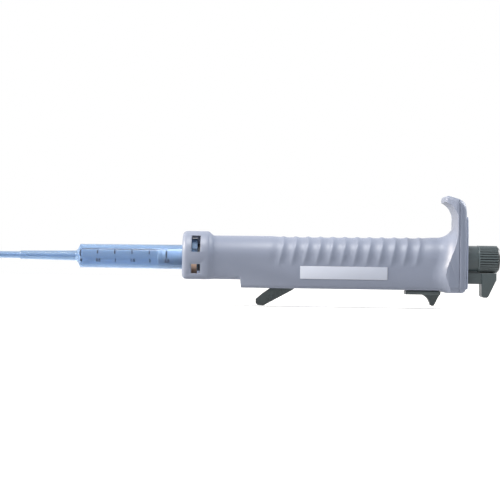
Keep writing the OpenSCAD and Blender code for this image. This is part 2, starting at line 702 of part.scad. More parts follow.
module holding_pawl_spring() color([0.75, 0.7, 0.6])
    leaf_spring(holding_pin, bridge_x[0], bridge_z[0], 0.7, 2.3);
module return_spring() color([0.75, 0.75, 0.75]) translate([0, 0, dial_z])
    coil_x(rear_bulkhead_x[1] + bush_flange_t, tube_wall_x, return_coil_r, return_wire_r,
        return_turns);

// Dial: knob, spindle and stepped drum that sets the stroke
function knob_rib(i) = let (step = 360 / knob_ribs, crest = knob_r - knob_rib_gap)
    [for (p = [[0, knob_r - rib_depth], [0.3, crest], [0.7, crest]])
        let (a = (i + p[0]) * step) p[1] * [cos(a), sin(a)]];
module knob_ribs_profile() polygon([for (i = [0 : knob_ribs - 1], p = knob_rib(i)) p]);
module dial_knob() color([0.33, 0.37, 0.38]) difference() {
    union() {
        rod_x(knob_x, knob_rib_x[0] + eps, knob_r, z = dial_z, sides = fine);
        translate([knob_rib_x[0], 0, dial_z]) rotate([90, 0, 90])
            linear_extrude(knob_rib_x[1] - knob_rib_x[0]) knob_ribs_profile();
        lathe_x([[0, knob_rib_x[1] - eps], [knob_face_r, knob_rib_x[1] - eps],
            [knob_face_r, knob_rib_x[1] + 0.3], [knob_face_r - 0.7, knob_end_x],
            [0, knob_end_x]], z = dial_z);
    }
    rod_x(knob_x - 1, knob_end_x + 1, spindle_r, z = dial_z);
    lathe_x([[detent_groove_r[0], knob_x - eps], [detent_groove_r[1], knob_x - eps],
        [detent_groove_r[1], knob_x + detent_groove_depth],
        [detent_groove_r[0], knob_x + detent_groove_depth]], z = dial_z);
}
module dial_spindle() color([0.3, 0.42, 0.52]) difference() {
    rod_x(spindle_x[0], spindle_x[1], spindle_r, z = dial_z);
    lathe_x([[clip_groove_r, clip_x - run_gap], [spindle_r + 1, clip_x - run_gap],
        [spindle_r + 1, clip_x + clip_t + run_gap], [clip_groove_r, clip_x + clip_t + run_gap]],
        z = dial_z);
    drum_pin_rod(beyond);
}
module drum_pin_rod(half_len) translate([drum_pin_x, 0, dial_z - half_len])
    cylinder(r = drum_pin_r, h = 2 * half_len, $fn = small);
module stroke_drum() color([0.8, 0.8, 0.76]) difference() {
    translate([0, 0, dial_z]) rotate([0, 90, 0]) for (i = [0 : drum_steps - 1])
        rotate([0, 0, i * 360 / drum_steps])
            rotate_extrude(angle = 360 / drum_steps + (i < drum_steps - 1 ? 0.5 : 0), $fn = fine)
                translate([spindle_r, drum_x + i * drum_rise])
                    square([drum_r - spindle_r, drum_end_x - drum_x - i * drum_rise]);
    drum_pin_rod(beyond);
}
module drum_pin() color([0.8, 0.8, 0.8]) drum_pin_rod(drum_r - 0.4);
module retaining_clip() color([0.6, 0.6, 0.6]) translate([0, 0, dial_z]) rotate([0, 90, 0])
    rotate([0, 0, 30]) rotate_extrude(angle = 300, $fn = fine)
        translate([clip_groove_r + run_gap, clip_x])
            square([clip_r - clip_groove_r - run_gap, clip_t]);
module detent_ball() color([0.8, 0.8, 0.8])
    translate([detent_x[1], 0, dial_z + detent_ring_r]) sphere(r = detent_r, $fn = small);
module detent_spring() color([0.75, 0.75, 0.75]) translate([0, 0, dial_z + detent_ring_r])
    coil_x(detent_x[0] - 0.4, detent_x[1] - detent_r + 0.1, 0.4, 0.13, 5, steps = 10, sides = 5);

// Release lever under the nose, its pin and its spring
lever_teeth = [for (i = [0 : 8]) let (p = [mix(132.4, 146.4, i / 9), mix(-23.3, -15.6, i / 9)])
    each [p, p + [lever_tooth * 0.55, lever_tooth_h]]];
module release_lever() color([0.3, 0.35, 0.36]) difference() {
    union() {
        slab_y(-lever_half_w, lever_half_w) polygon(concat(
            [[135.2, -15], [131.6, -17.4], [128.1, -20.4], [128.1, -22.4], [129.2, -23.3],
                [131.8, -23.5]], lever_teeth, [[147.2, -15], [147.2, -13.5], [145, -11.4],
                [139, -12.9]]));
        rod_y(lever_pivot[0], lever_pivot[1], lever_hub_r, -lever_half_w, lever_half_w);
    }
    rod_y(lever_pivot[0], lever_pivot[1], lever_pin_r + run_gap, -beyond, beyond);
    block([lever_pivot[0] - 2.6, lever_pivot[0] + 4], [-lever_gap_half_w, lever_gap_half_w],
        [-14.6, lever_pivot[1] + lever_hub_r + 1]);
}
module lever_pin() color([0.8, 0.8, 0.8])
    rod_y(lever_pivot[0], lever_pivot[1], lever_pin_r, -frame_wall_y[1], frame_wall_y[1]);
module lever_spring() color([0.75, 0.75, 0.75])
    translate([lever_pivot[0], 0, lever_pivot[1]]) rotate([0, 0, 90])
        coil_x(-lever_gap_half_w + 0.3, lever_gap_half_w - 0.3, lever_coil_r, lever_wire_r,
            lever_turns);

syringe_barrel();
plunger_rod();
piston_seal();
flange_clip();
body_shell();
rear_cover();
back_plate();
name_plate();
cover_screws();
guide_frame();
frame_screws();
spindle_bush();
rack();
plunger_chuck();
filling_slide();
slide_screw();
trigger_block();
drive_pawl();
drive_pawl_pin();
drive_pawl_spring();
holding_pawl();
holding_pawl_pin();
holding_pawl_spring();
return_spring();
dial_knob();
dial_spindle();
stroke_drum();
drum_pin();
retaining_clip();
detent_ball();
detent_spring();
release_lever();
lever_pin();
lever_spring();
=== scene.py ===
"""Repeating pipette: finishes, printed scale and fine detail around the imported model."""
import json
import math

import bpy
from mathutils import Matrix, Vector

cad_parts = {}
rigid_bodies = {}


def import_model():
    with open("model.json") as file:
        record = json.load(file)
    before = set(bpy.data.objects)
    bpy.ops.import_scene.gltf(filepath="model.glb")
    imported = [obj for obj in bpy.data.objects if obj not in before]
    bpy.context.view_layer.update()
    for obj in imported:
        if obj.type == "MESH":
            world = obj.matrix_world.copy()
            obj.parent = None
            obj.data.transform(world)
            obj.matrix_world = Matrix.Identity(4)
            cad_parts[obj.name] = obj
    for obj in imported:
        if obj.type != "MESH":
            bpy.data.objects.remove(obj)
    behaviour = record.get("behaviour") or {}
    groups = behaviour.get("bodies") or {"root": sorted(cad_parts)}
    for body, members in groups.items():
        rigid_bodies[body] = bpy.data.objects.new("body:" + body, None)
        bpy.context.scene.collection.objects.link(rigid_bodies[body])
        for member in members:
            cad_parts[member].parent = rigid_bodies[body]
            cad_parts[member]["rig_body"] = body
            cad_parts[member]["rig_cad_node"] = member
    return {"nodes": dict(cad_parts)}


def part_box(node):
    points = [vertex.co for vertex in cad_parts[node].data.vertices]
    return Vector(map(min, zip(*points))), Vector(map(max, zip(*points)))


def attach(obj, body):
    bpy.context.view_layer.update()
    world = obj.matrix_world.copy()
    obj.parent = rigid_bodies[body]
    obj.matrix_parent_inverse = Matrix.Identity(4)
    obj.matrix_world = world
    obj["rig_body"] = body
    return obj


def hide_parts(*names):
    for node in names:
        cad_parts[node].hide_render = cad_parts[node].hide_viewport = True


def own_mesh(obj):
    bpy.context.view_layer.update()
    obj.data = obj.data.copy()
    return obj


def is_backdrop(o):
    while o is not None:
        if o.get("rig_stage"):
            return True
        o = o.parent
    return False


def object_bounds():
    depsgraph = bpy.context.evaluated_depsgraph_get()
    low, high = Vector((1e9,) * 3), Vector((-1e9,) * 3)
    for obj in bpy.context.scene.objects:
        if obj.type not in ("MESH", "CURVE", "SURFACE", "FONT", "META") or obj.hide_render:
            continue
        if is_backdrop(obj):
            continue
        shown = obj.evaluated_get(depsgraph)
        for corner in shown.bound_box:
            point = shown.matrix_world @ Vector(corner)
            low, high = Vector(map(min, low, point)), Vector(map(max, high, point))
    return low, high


bl_info = {
    "name": "Repeating Pipette",
    "version": (1, 0, 0),
    "blender": (4, 5, 0),
    "location": "View3D > Sidebar > Pipette",
    "description": "Dresses a packed repeating pipette with its finishes and printed scale",
    "category": "Object",
}

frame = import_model()
nodes = frame["nodes"]
EDGE_ATTRIBUTE = "edge"  # 1 in the middle of a rounded edge, 0 on the faces beside it
EDGE_SEGMENTS = 3
SAME_PLACE = 0.00001    # points nearer to each other than this are one
QUARTER_TURN = math.radians(90)

# Stage
SENSOR_WIDTH = 36       # of the camera, in mm
LAMPS = {               # place and diameter
    "key_lamp": ((0.05, -0.32, 0.87), 0.35),
    "side_lamp": ((-0.66, -0.12, 0.46), 0.3),
    "rear_lamp": ((0.80, 0.25, 0.42), 0.4),
}
SIDE_LAMP_AIM = Vector((0.08, 0, 0))    # from the pipette's middle
FLOOR_SIZE = 1.6
FLOOR_MIDDLE = 0.12     # along X
FLOOR_GAP = 0.0005      # between the floor and the lowest point
FLOOR_GREY = 0.6

# Materials
COLOR, FLOAT, VECTOR = "NodeSocketColor", "NodeSocketFloat", "NodeSocketVector"
CLOUDS_PER_METRE = 60   # scale of the slow change of tint and gloss
GRAIN_HEIGHT = 0.0001
BARREL_CLEARNESS = 0.7
BARREL_IOR = 1.3
SEAL_COLOR = (0.92, 0.93, 0.95)
ROD_COLOR = (0.66, 0.70, 0.78)
# painted shade: near-black of the washer that stands for the shadowed gap behind the flange
WASHER_SHADE_COLOR = (0.03, 0.032, 0.036)
LABEL_EDGE_COLOR = (0.9, 0.9, 0.92)
# painted shade: the near-black colour that the knob takes at its grooves' floors
GROOVE_SHADE_COLOR = (0.012, 0.015, 0.017, 1)
WIRE_COLOR = (0.52, 0.52, 0.54)
PLATE_TINT = 1.45       # how much lighter the rear plate is than the housing

# Syringe
BARREL_EDGE = 0.00012
ROD_EDGE = 0.00025
PRINT_START = 0.009     # where flat prints start, in front of the barrel
INK_OFFSET = 0.00006    # how far the ink stands off the barrel
INK_SHARE = 0.8         # the ink's thickness, as a share of that offset
MARK_CUTS = 8           # cuts across a mark, so that it follows the barrel
DATUM_CUTS = 2
NUMERAL_SLICES = 8
WASHER_GAP = 0.00005    # between the syringe's flange and the washer
WASHER_SIDES = 72
WASHER_ROUNDING = 6     # parts of the washer's thickness, one of which is its edge radius

# Housing
PLATE_EDGE = 0.0002
LABEL_EDGE = 0.00006
HOUSING_CUTS = (((0, 0, 0), (0, 1, 0)), ((0.105, 0, 0), (1, 0, 0)), ((0.151, 0, 0), (1, 0, 0)),
                ((0.2185, 0, 0), (1, 0, 0)))

# Slide, dial and lever
FIN_FRONT = ((0.2122, -0.0175), (0.2134, -0.0184), (0.2143, -0.0196), (0.2149, -0.0209),
             (0.2153, -0.0221))     # front edge of the slide's fin, from its foot to its tip
FIN_REAR = ((0.2169, -0.0224), (0.2176, -0.0213), (0.2188, -0.0187), (0.2198, -0.0157))
FIN_WIDTH = 0.006
RIB_SIDES = 12
RIB_SINK = 0.45         # how deep a rib lies in the fin, as a share of its radius
RIB_ROUNDING = 0.6      # edge radius of a rib's ends, as a share of its radius
PLATE_TOP = -0.0152     # top of the filling slide's plate
RAIL_INSET = 0.002      # from the plate's sides to the middles of its rails
RAIL_WIDTH = 0.0012
RAIL_SHORTER = 0.001    # how much shorter a rail is than the slide
SPINDLE_EDGE = 0.0003
KNOB_ROUNDING = 3       # parts of the dark parts' edge radius, one of which is the knob's
PAD_LINE = ((0.1338, -0.0206), (0.1432, -0.0154))   # middles of the lever's first and last rib
PAD_RIB_HEIGHT = 0.0034
PAD_RIB_WIDTH = 0.6     # as a share of the rib pitch
PAD_RIB_PITCH = 1.3     # as a share of the rib pitch
PAD_ROUNDING = 0.8      # edge radius of the lever's ribs, as a share of a rib's radius

# Springs
COIL_STEPS = 28         # for each turn
WIRE_SIDES = 10


# ---------------------------------------------------------------- settings
class HousingSettings(bpy.types.PropertyGroup):
    color: bpy.props.FloatVectorProperty(
        name="Housing colour", description="Base colour of the grey mouldings",
        subtype="COLOR", size=3, min=0, max=1, default=(0.208, 0.241, 0.328))
    label_color: bpy.props.FloatVectorProperty(
        name="Label colour", description="Base colour of the blank name plate",
        subtype="COLOR", size=3, min=0, max=1, default=(0.51, 0.56, 0.68))
    rubbed_color: bpy.props.FloatVectorProperty(
        name="Rubbed edge colour", description="Colour of the mouldings' edges where hands rub",
        subtype="COLOR", size=3, min=0, max=1, default=(0.36, 0.40, 0.50))
    edge: bpy.props.FloatProperty(
        name="Edge radius", description="Radius on the mouldings' outer edges",
        unit="LENGTH", min=0.00005, max=0.001, default=0.0002)
    seam: bpy.props.FloatProperty(
        name="Seam", description="Gap between the body moulding and the rear cover",
        unit="LENGTH", min=0, max=0.0005, default=0.0003)


class SyringeSettings(bpy.types.PropertyGroup):
    color: bpy.props.FloatVectorProperty(
        name="Barrel colour", description="Tint of the translucent barrel",
        subtype="COLOR", size=3, min=0, max=1, default=(0.27, 0.39, 0.57))
    ink: bpy.props.FloatVectorProperty(
        name="Ink colour", description="Colour of the printed scale",
        subtype="COLOR", size=3, min=0, max=1, default=(0.012, 0.018, 0.04))
    first_mark: bpy.props.FloatProperty(
        name="First mark", unit="LENGTH", default=0.0408,
        description="Distance of the scale's first mark from the nozzle's mouth")
    mark_pitch: bpy.props.FloatProperty(
        name="Mark pitch", description="Distance between numbered marks",
        unit="LENGTH", default=0.00854)
    mark_count: bpy.props.IntProperty(
        name="Marks", description="Number of numbered marks", min=2, max=8, default=6)
    mark_low: bpy.props.FloatProperty(
        name="Mark's foot", description="Height of a mark's lower end above the barrel's axis",
        unit="LENGTH", default=0.0012)
    mark_high: bpy.props.FloatProperty(
        name="Mark's top", description="Height of a mark's upper end above the barrel's axis",
        unit="LENGTH", default=0.003)
    mark_extra: bpy.props.FloatProperty(
        name="End marks", description="Extra length of the first and the last mark",
        unit="LENGTH", default=0.0016)
    line_height: bpy.props.FloatProperty(
        name="Datum line", description="Height of the scale's long line above the barrel's axis",
        unit="LENGTH", default=0.0033)
    washer_radius: bpy.props.FloatProperty(
        name="Washer radius", description="Outer radius of the washer behind the flange",
        unit="LENGTH", min=0.006, max=0.0071, default=0.0071)
    washer_bore: bpy.props.FloatProperty(
        name="Washer bore", description="Inner radius of the washer behind the flange",
        unit="LENGTH", min=0.0046, max=0.0058, default=0.0048)
    washer_thickness: bpy.props.FloatProperty(
        name="Washer thickness", description="Thickness of the washer behind the flange",
        unit="LENGTH", min=0.0008, max=0.0018, default=0.0014)
    ink_width: bpy.props.FloatProperty(
        name="Ink width", description="Width of a printed mark", unit="LENGTH", default=0.0006)
    numeral_size: bpy.props.FloatProperty(
        name="Numeral size", description="Type size of the scale's numerals",
        unit="LENGTH", default=0.002)
    numeral_height: bpy.props.FloatProperty(
        name="Numeral height", description="Height of the numerals' middle from the barrel's axis",
        unit="LENGTH", default=-0.0021)
    numeral_weight: bpy.props.FloatProperty(
        name="Numeral weight", description="How much the numerals' strokes are thickened",
        unit="LENGTH", min=0, max=0.0002, default=0.00009)
    numeral_shift: bpy.props.FloatProperty(
        name="Numeral shift", description="How far a numeral stands behind its mark",
        unit="LENGTH", default=0.0004)


class GripSettings(bpy.types.PropertyGroup):
    color: bpy.props.FloatVectorProperty(
        name="Grip colour", description="Base colour of the dark levers, trigger and knob",
        subtype="COLOR", size=3, min=0, max=1, default=(0.062, 0.083, 0.09))
    rubbed_color: bpy.props.FloatVectorProperty(
        name="Rubbed edge colour", description="Colour of the dark parts' edges where fingers rub",
        subtype="COLOR", size=3, min=0, max=1, default=(0.14, 0.18, 0.19))
    rib_color: bpy.props.FloatVectorProperty(
        name="Knob colour", description="Colour of the knob's ribs", subtype="COLOR",
        min=0, max=1, default=(0.10, 0.13, 0.14))
    # Read only by the painted shade in the knob's grooves: how far below the ribs' crests that
    # painted shade reaches.
    groove_shade_depth: bpy.props.FloatProperty(
        name="Groove shade depth", description="Depth of the grooves between the knob's ribs",
        unit="LENGTH", min=0.0002, max=0.001, default=0.0006)
    spindle_color: bpy.props.FloatVectorProperty(
        name="Spindle colour", description="Base colour of the dial's spindle",
        subtype="COLOR", size=3, min=0, max=1, default=(0.07, 0.2, 0.36))
    rib_pitch: bpy.props.FloatProperty(
        name="Rib pitch", description="Distance between the fine ribs on the slide's fin",
        unit="LENGTH", min=0.0004, max=0.002, default=0.0008)
    rib_radius: bpy.props.FloatProperty(
        name="Rib radius", description="Radius of a fine rib", unit="LENGTH",
        min=0.0001, max=0.0004, default=0.00024)
    pad_height: bpy.props.FloatProperty(
        name="Pad height", description="How far the lever's grip pads stand out of its sides",
        unit="LENGTH", min=0, max=0.0003, default=0.00022)
    rail_height: bpy.props.FloatProperty(
        name="Rail height", description="How far the rails stand out of the slide's plate",
        unit="LENGTH", min=0.0001, max=0.0004, default=0.00035)
    edge: bpy.props.FloatProperty(
        name="Edge radius", description="Radius on the dark parts' edges",
        unit="LENGTH", min=0.00005, max=0.001, default=0.0002)


class WorksSettings(bpy.types.PropertyGroup):
    return_wire: bpy.props.FloatProperty(
        name="Return wire", description="Radius of the return spring's wire",
        unit="LENGTH", min=0.0002, max=0.0006, default=0.00042)
    return_turns: bpy.props.FloatProperty(
        name="Return turns", description="Number of turns of the return spring", min=2, max=9,
        default=5.5)
    trigger_stroke: bpy.props.FloatProperty(
        name="Trigger stroke", description="How far the trigger shortens the return spring",
        unit="LENGTH", default=0.0048)


class StageSettings(bpy.types.PropertyGroup):
    distance: bpy.props.FloatProperty(
        name="Camera distance", description="Distance from the camera to the pipette's axis",
        unit="LENGTH", default=0.80)
    view_width: bpy.props.FloatProperty(
        name="View width", description="Width of what the camera sees at the pipette's axis",
        unit="LENGTH", default=0.25)
    eye_height: bpy.props.FloatProperty(
        name="Eye height", description="Height of the camera above the syringe's axis",
        unit="LENGTH", default=0.004)
    tilt: bpy.props.FloatProperty(
        name="Tilt", description="How far the nozzle is raised in the picture",
        unit="ROTATION", default=math.radians(0.84))
    key_power: bpy.props.FloatProperty(
        name="Key lamp", description="Power of the lamp above the front", min=0, default=6.6)
    side_power: bpy.props.FloatProperty(
        name="Side lamp", description="Power of the lamp beyond the nozzle", min=0, default=15.0)
    side_color: bpy.props.FloatVectorProperty(
        name="Side lamp colour", description="Colour of the lamp beyond the nozzle",
        subtype="COLOR", min=0, max=1, default=(1.0, 0.90, 0.78))
    rear_power: bpy.props.FloatProperty(
        name="Rear lamp", description="Power of the lamp behind the knob", min=0, default=6.0)
    world_strength: bpy.props.FloatProperty(
        name="World", description="Strength of the even light from all sides", min=0, default=0.16)
    floor_glow: bpy.props.FloatProperty(
        name="Floor glow", description="How much the floor is lifted towards white in the picture",
        min=0, max=1, default=0.6)


# ---------------------------------------------------------------- materials
def add_node(tree, kind, inputs, **settings):
    """A node with its settings; each input is linked to a socket or set to a plain value."""
    node = tree.nodes.new(kind)
    for key, value in settings.items():
        setattr(node, key, value)
    for key, value in inputs.items():
        if isinstance(value, bpy.types.NodeSocket):
            tree.links.new(value, node.inputs[key])
        else:
            node.inputs[key].default_value = value
    return node


def maths(tree, operation, *values):
    """The output of a Math node that works on sockets and plain numbers."""
    return add_node(tree, "ShaderNodeMath", dict(enumerate(values)),
                    operation=operation).outputs[0]


def color_mix(tree, share, first, second):
    """The colour first where share is 0, and second where it is 1."""
    mix = add_node(tree, "ShaderNodeMix", {0: share, 6: first, 7: second}, data_type="RGBA")
    return mix.outputs[2]


def shader_mix(tree, share, first, second):
    """The shader first where share is 0, and second where it is 1."""
    return add_node(tree, "ShaderNodeMixShader", {0: share, 1: first, 2: second}).outputs[0]


def node_group(name, inputs, outputs):
    """A new group with (name, kind, default) inputs and (name, kind) outputs, and its ends."""
    tree = bpy.data.node_groups.new(name, "ShaderNodeTree")
    for label, kind, default in inputs:
        socket = tree.interface.new_socket(label, in_out="INPUT", socket_type=kind)
        socket.default_value = default
    for label, kind in outputs:
        tree.interface.new_socket(label, in_out="OUTPUT", socket_type=kind)
    given, result = tree.nodes.new("NodeGroupInput"), tree.nodes.new("NodeGroupOutput")
    return tree, given.outputs, result.inputs


def moulded_grain_group():
    """Fine spark-eroded grain: a colour that varies a little, a roughness and a bump normal."""
    found = bpy.data.node_groups.get("moulded_grain")
    if found:
        return found
    tree, given, result = node_group(
        "moulded_grain",
        (("Color", COLOR, (0.5, 0.5, 0.5, 1)),
         ("Grain per metre", FLOAT, 4000), ("Grain depth", FLOAT, 0.1), ("Mottle", FLOAT, 0.05),
         ("Roughness", FLOAT, 0.45), ("Roughness spread", FLOAT, 0.08)),
        (("Color", COLOR), ("Roughness", FLOAT), ("Normal", VECTOR)))
    place = tree.nodes.new("ShaderNodeTexCoord").outputs["Object"]
    grain = add_node(tree, "ShaderNodeTexNoise", {
        "Vector": place, "Scale": given["Grain per metre"], "Detail": 3})
    cloud = add_node(tree, "ShaderNodeTexNoise", {
        "Vector": place, "Scale": CLOUDS_PER_METRE, "Detail": 4})
    centred = maths(tree, "SUBTRACT", cloud.outputs["Fac"], 0.5)
    swing = maths(tree, "MULTIPLY_ADD", centred, given["Mottle"], 1)
    tint = add_node(tree, "ShaderNodeVectorMath", {0: given["Color"], "Scale": swing},
                    operation="SCALE")
    bump = add_node(tree, "ShaderNodeBump", {
        "Distance": GRAIN_HEIGHT, "Strength": given["Grain depth"],
        "Height": grain.outputs["Fac"]})
    tree.links.new(tint.outputs[0], result["Color"])
    tree.links.new(maths(tree, "MULTIPLY_ADD", centred, given["Roughness spread"],
                         given["Roughness"]), result["Roughness"])
    tree.links.new(bump.outputs["Normal"], result["Normal"])
    return tree


def edge_wear_group():
    """Colour of rounded edges that hands have rubbed, broken up by a slow noise."""
    found = bpy.data.node_groups.get("edge_wear")
    if found:
        return found
    tree, given, result = node_group(
        "edge_wear",
        (("Color", COLOR, (0.5, 0.5, 0.5, 1)),
         ("Worn color", COLOR, (0.7, 0.7, 0.7, 1)),
         ("Wear", FLOAT, 0.4),
         ("Patches per metre", FLOAT, 250)),
        (("Color", COLOR),))
    edge = add_node(tree, "ShaderNodeAttribute", {}, attribute_name=EDGE_ATTRIBUTE)
    patches = add_node(tree, "ShaderNodeTexNoise", {
        "Vector": tree.nodes.new("ShaderNodeTexCoord").outputs["Object"],
        "Scale": given["Patches per metre"], "Detail": 5})
    broken = add_node(tree, "ShaderNodeMapRange", {
        "Value": patches.outputs["Fac"], "From Min": 0.3, "From Max": 0.65})
    on_edge = maths(tree, "MULTIPLY", edge.outputs["Fac"], broken.outputs[0])
    tree.links.new(color_mix(tree, maths(tree, "MULTIPLY", on_edge, given["Wear"]),
                             given["Color"], given["Worn color"]), result["Color"])
    return tree


def groove_shade_group():
    """Colour of a ribbed round piece about a line along X, with painted shade that darkens it
    towards its grooves' floors.
    """
    found = bpy.data.node_groups.get("groove_painted_shade")
    if found:
        return found
    tree, given, result = node_group(
        "groove_painted_shade",
        (("Color", COLOR, (0.5, 0.5, 0.5, 1)),
         ("Shade color", COLOR, (0.02, 0.02, 0.02, 1)),
         ("Axis", VECTOR, (0, 0, 0)),
         ("Floor radius", FLOAT, 0.006),
         ("Crest radius", FLOAT, 0.007)),
        (("Color", COLOR),))
    from_axis = add_node(tree, "ShaderNodeVectorMath", {
        0: tree.nodes.new("ShaderNodeTexCoord").outputs["Object"], 1: given["Axis"]},
        operation="SUBTRACT")
    across = add_node(tree, "ShaderNodeVectorMath", {0: from_axis.outputs[0], 1: (0, 1, 1)},
                      operation="MULTIPLY")
    radius = add_node(tree, "ShaderNodeVectorMath", {0: across.outputs[0]}, operation="LENGTH")
    height = add_node(tree, "ShaderNodeMapRange", {
        "Value": radius.outputs["Value"], "From Min": given["Floor radius"],
        "From Max": given["Crest radius"]})
    tree.links.new(color_mix(tree, height.outputs[0], given["Shade color"], given["Color"]),
                   result["Color"])
    return tree


def new_material(name):
    made = bpy.data.materials.new(name)
    made.use_nodes = True
    return made


def principled(material):
    return material.node_tree.nodes["Principled BSDF"]


def show(tree, shader, output="Material Output"):
    """Make a shader what the material or the world shows."""
    tree.links.new(shader, tree.nodes[output].inputs["Surface"])


def moulded(name, color, grain=4000, depth=0.1, mottle=0.06, rough=0.45, spread=0.1, worn=None,
            wear=0.5):
    """Moulded plastic with a fine grain; worn is the colour of its rubbed edges."""
    made = new_material(name)
    tree, shader = made.node_tree, principled(made)
    group = add_node(tree, "ShaderNodeGroup", {}, node_tree=moulded_grain_group())
    for key, value in (("Color", (*color, 1)), ("Grain per metre", grain), ("Grain depth", depth),
                       ("Mottle", mottle), ("Roughness", rough), ("Roughness spread", spread)):
        group.inputs[key].default_value = value
    finish = group
    if worn:
        finish = add_node(tree, "ShaderNodeGroup", {}, node_tree=edge_wear_group())
        finish.inputs["Worn color"].default_value = (*worn, 1)
        finish.inputs["Wear"].default_value = wear
        tree.links.new(group.outputs["Color"], finish.inputs["Color"])
    tree.links.new(finish.outputs["Color"], shader.inputs["Base Color"])
    tree.links.new(group.outputs["Roughness"], shader.inputs["Roughness"])
    tree.links.new(group.outputs["Normal"], shader.inputs["Normal"])
    return made


def metal(name, color, rough=0.35, bare=1):
    """Machined metal with fine turning lines and uneven gloss; bare is 1 if untarnished."""
    made = moulded(name, color, grain=9000, depth=0.08, mottle=0.12, rough=rough)
    principled(made).inputs["Metallic"].default_value = bare
    return made


def barrel_plastic(color):
    """Clear moulded plastic of the syringe's barrel, which lets lamps light what is inside."""
    made = moulded("barrel_plastic", color, grain=900, depth=0.004, mottle=0.04, rough=0.16,
                   spread=0.05)
    tree, shader = made.node_tree, principled(made)
    shader.inputs["Transmission Weight"].default_value = BARREL_CLEARNESS
    shader.inputs["IOR"].default_value = BARREL_IOR
    ray = tree.nodes.new("ShaderNodeLightPath").outputs
    lit_through = tree.nodes.new("ShaderNodeBsdfTransparent")
    show(tree, shader_mix(tree, ray["Is Shadow Ray"], shader.outputs[0], lit_through.outputs[0]))
    return made


# ---------------------------------------------------------------- shapes
def deselect():
    if bpy.context.object and bpy.context.object.mode != "OBJECT":
        bpy.ops.object.mode_set(mode="OBJECT")
    bpy.ops.object.select_all(action="DESELECT")


def make_active(piece):
    deselect()
    piece.select_set(True)
    bpy.context.view_layer.objects.active = piece


def add_modifier(piece, kind, **values):
    make_active(piece)
    modifier = piece.modifiers.new(kind.lower(), kind)
    for key, value in values.items():
        setattr(modifier, key, value)
    bpy.ops.object.modifier_apply(modifier=modifier.name)


def select_vertices(piece, test):
    """Select the vertices whose place passes a test, with nothing else selected."""
    for part in (*piece.data.edges, *piece.data.polygons):
        part.select = False
    for vertex in piece.data.vertices:
        vertex.select = test(vertex.co)
    make_active(piece)
    bpy.context.tool_settings.mesh_select_mode = (True, False, False)


def select_faces(piece, test):
    """Select the faces that pass a test, with nothing else selected."""
    for part in (*piece.data.vertices, *piece.data.edges):
        part.select = False
    for face in piece.data.polygons:
        face.select = test(face)
    make_active(piece)
    bpy.context.tool_settings.mesh_select_mode = (False, False, True)


def smooth(piece, degrees=35):
    make_active(piece)
    bpy.ops.object.shade_smooth_by_angle(angle=math.radians(degrees))


def refined_copy(node, name, edge=0.0, corner=35, merge=SAME_PLACE, flat=0.4, cuts=()):
    """A copy of a CAD node with its loose triangles merged and its flat faces joined.

    Edges sharper than corner degrees are rounded if edge is a radius. The flat faces stay parted
    at the cuts, which are pairs of a point and a normal, so that none of them has a hole.
    """
    piece = nodes[node].copy()
    piece.data = nodes[node].data.copy()
    piece.name = piece.data.name = name
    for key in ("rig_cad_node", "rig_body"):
        if key in piece:
            del piece[key]
    piece.parent = None
    bpy.context.scene.collection.objects.link(piece)
    piece.data.materials.clear()
    make_active(piece)
    bpy.ops.mesh.customdata_custom_splitnormals_clear()
    bpy.ops.object.mode_set(mode="EDIT")
    bpy.ops.mesh.select_all(action="SELECT")
    bpy.ops.mesh.remove_doubles(threshold=SAME_PLACE)
    for place, normal in cuts:
        bpy.ops.mesh.select_all(action="SELECT")
        bpy.ops.mesh.bisect(plane_co=place, plane_no=normal)
        bpy.ops.mesh.mark_seam()
    bpy.ops.mesh.select_all(action="SELECT")
    bpy.ops.mesh.remove_doubles(threshold=merge)
    bpy.ops.mesh.dissolve_limited(angle_limit=math.radians(flat), delimit={"SEAM"})
    bpy.ops.object.mode_set(mode="OBJECT")
    if edge:
        round_edges(piece, edge, corner)
    smooth(piece)
    return piece


def round_edges(piece, edge, corner=35):
    """Round every edge sharper than corner, and mark the middle of the rounding for edge wear."""
    for _ in range(2):
        piece.data.materials.append(None)
    add_modifier(piece, "BEVEL", width=edge, segments=EDGE_SEGMENTS, limit_method="ANGLE",
                 angle_limit=math.radians(corner), use_clamp_overlap=False, material=1,
                 miter_outer="MITER_ARC")
    mesh = piece.data
    beside = {vertex for face in mesh.polygons if not face.material_index
              for vertex in face.vertices}
    mark = mesh.attributes.new(EDGE_ATTRIBUTE, "FLOAT", "POINT")
    for vertex in mesh.vertices:
        mark.data[vertex.index].value = 0.0 if vertex.index in beside else 1.0
    for face in mesh.polygons:
        face.material_index = 0
    mesh.materials.clear()


def finish_piece(piece, material, node=None, body=None):
    """Give a piece its material and body.

    A piece that stands for a node rides on the node's body and stays inside the node's box.
    """
    piece.data.materials.append(material)
    if node:
        low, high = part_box(node)
        for vertex in piece.data.vertices:
            vertex.co = [min(max(c, a), b) for c, a, b in zip(vertex.co, low, high)]
    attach(piece, nodes[node]["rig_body"] if node else body)
    if node:
        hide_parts(node)


def paint_node(node, material):
    """A CAD node that stays as it is takes a new material."""
    mesh = nodes[node].data
    mesh.materials.clear()
    mesh.materials.append(material)


